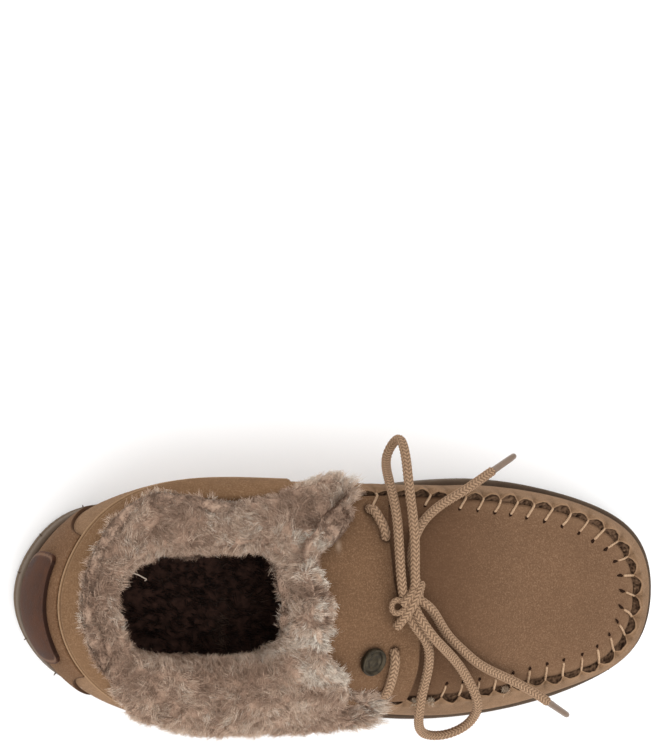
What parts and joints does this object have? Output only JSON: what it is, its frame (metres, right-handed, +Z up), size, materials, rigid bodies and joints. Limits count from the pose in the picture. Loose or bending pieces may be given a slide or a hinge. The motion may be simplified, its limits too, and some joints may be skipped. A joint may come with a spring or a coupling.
{
  "type": "house slipper",
  "caption": "Right suede moccasin slipper with raised toe apron, instep saddle, folded-out sheepskin cuff, bow-tied lace, and a flat-treaded rubber sole",
  "frame": {"origin": "Middle of the bounding box on the floor, under the sole, measured without the bow", "axes": "+X to the toe along the sole, +Y to the inner side of the foot, +Z up"},
  "size_m": [0.2859, 0.1307, 0.0911],
  "materials": {
    "sole": "matte taupe rubber",
    "insole": "dark brown short pile",
    "suede": "napped mid-brown suede",
    "apron": "napped brown suede",
    "saddle": "napped brown suede",
    "band": "light brown suede binding",
    "counter": "darker brown suede",
    "patch": "smooth dark brown leather",
    "fur": "curled sheepskin wool",
    "button": "aged dark bronze",
    "lace": "braided cord",
    "aglet": "smooth brown plastic"
  },
  "bodies": {
    "root": {"outsole": "sole", "insole": "insole", "upper": "suede", "apron": "apron", "saddle": "saddle", "collar_band": "band", "heel_counter": "counter", "heel_patch": "patch", "fur_cuff": "fur", "button": "button", "lace_bar_inner": "lace", "lace_bar_outer": "lace", "lace_knot": "lace", "lace_loop_inner": "lace", "lace_loop_outer": "lace", "lace_end_inner": "lace", "lace_end_outer": "lace", "aglet_inner": "aglet", "aglet_outer": "aglet"}
  },
  "joints": []
}
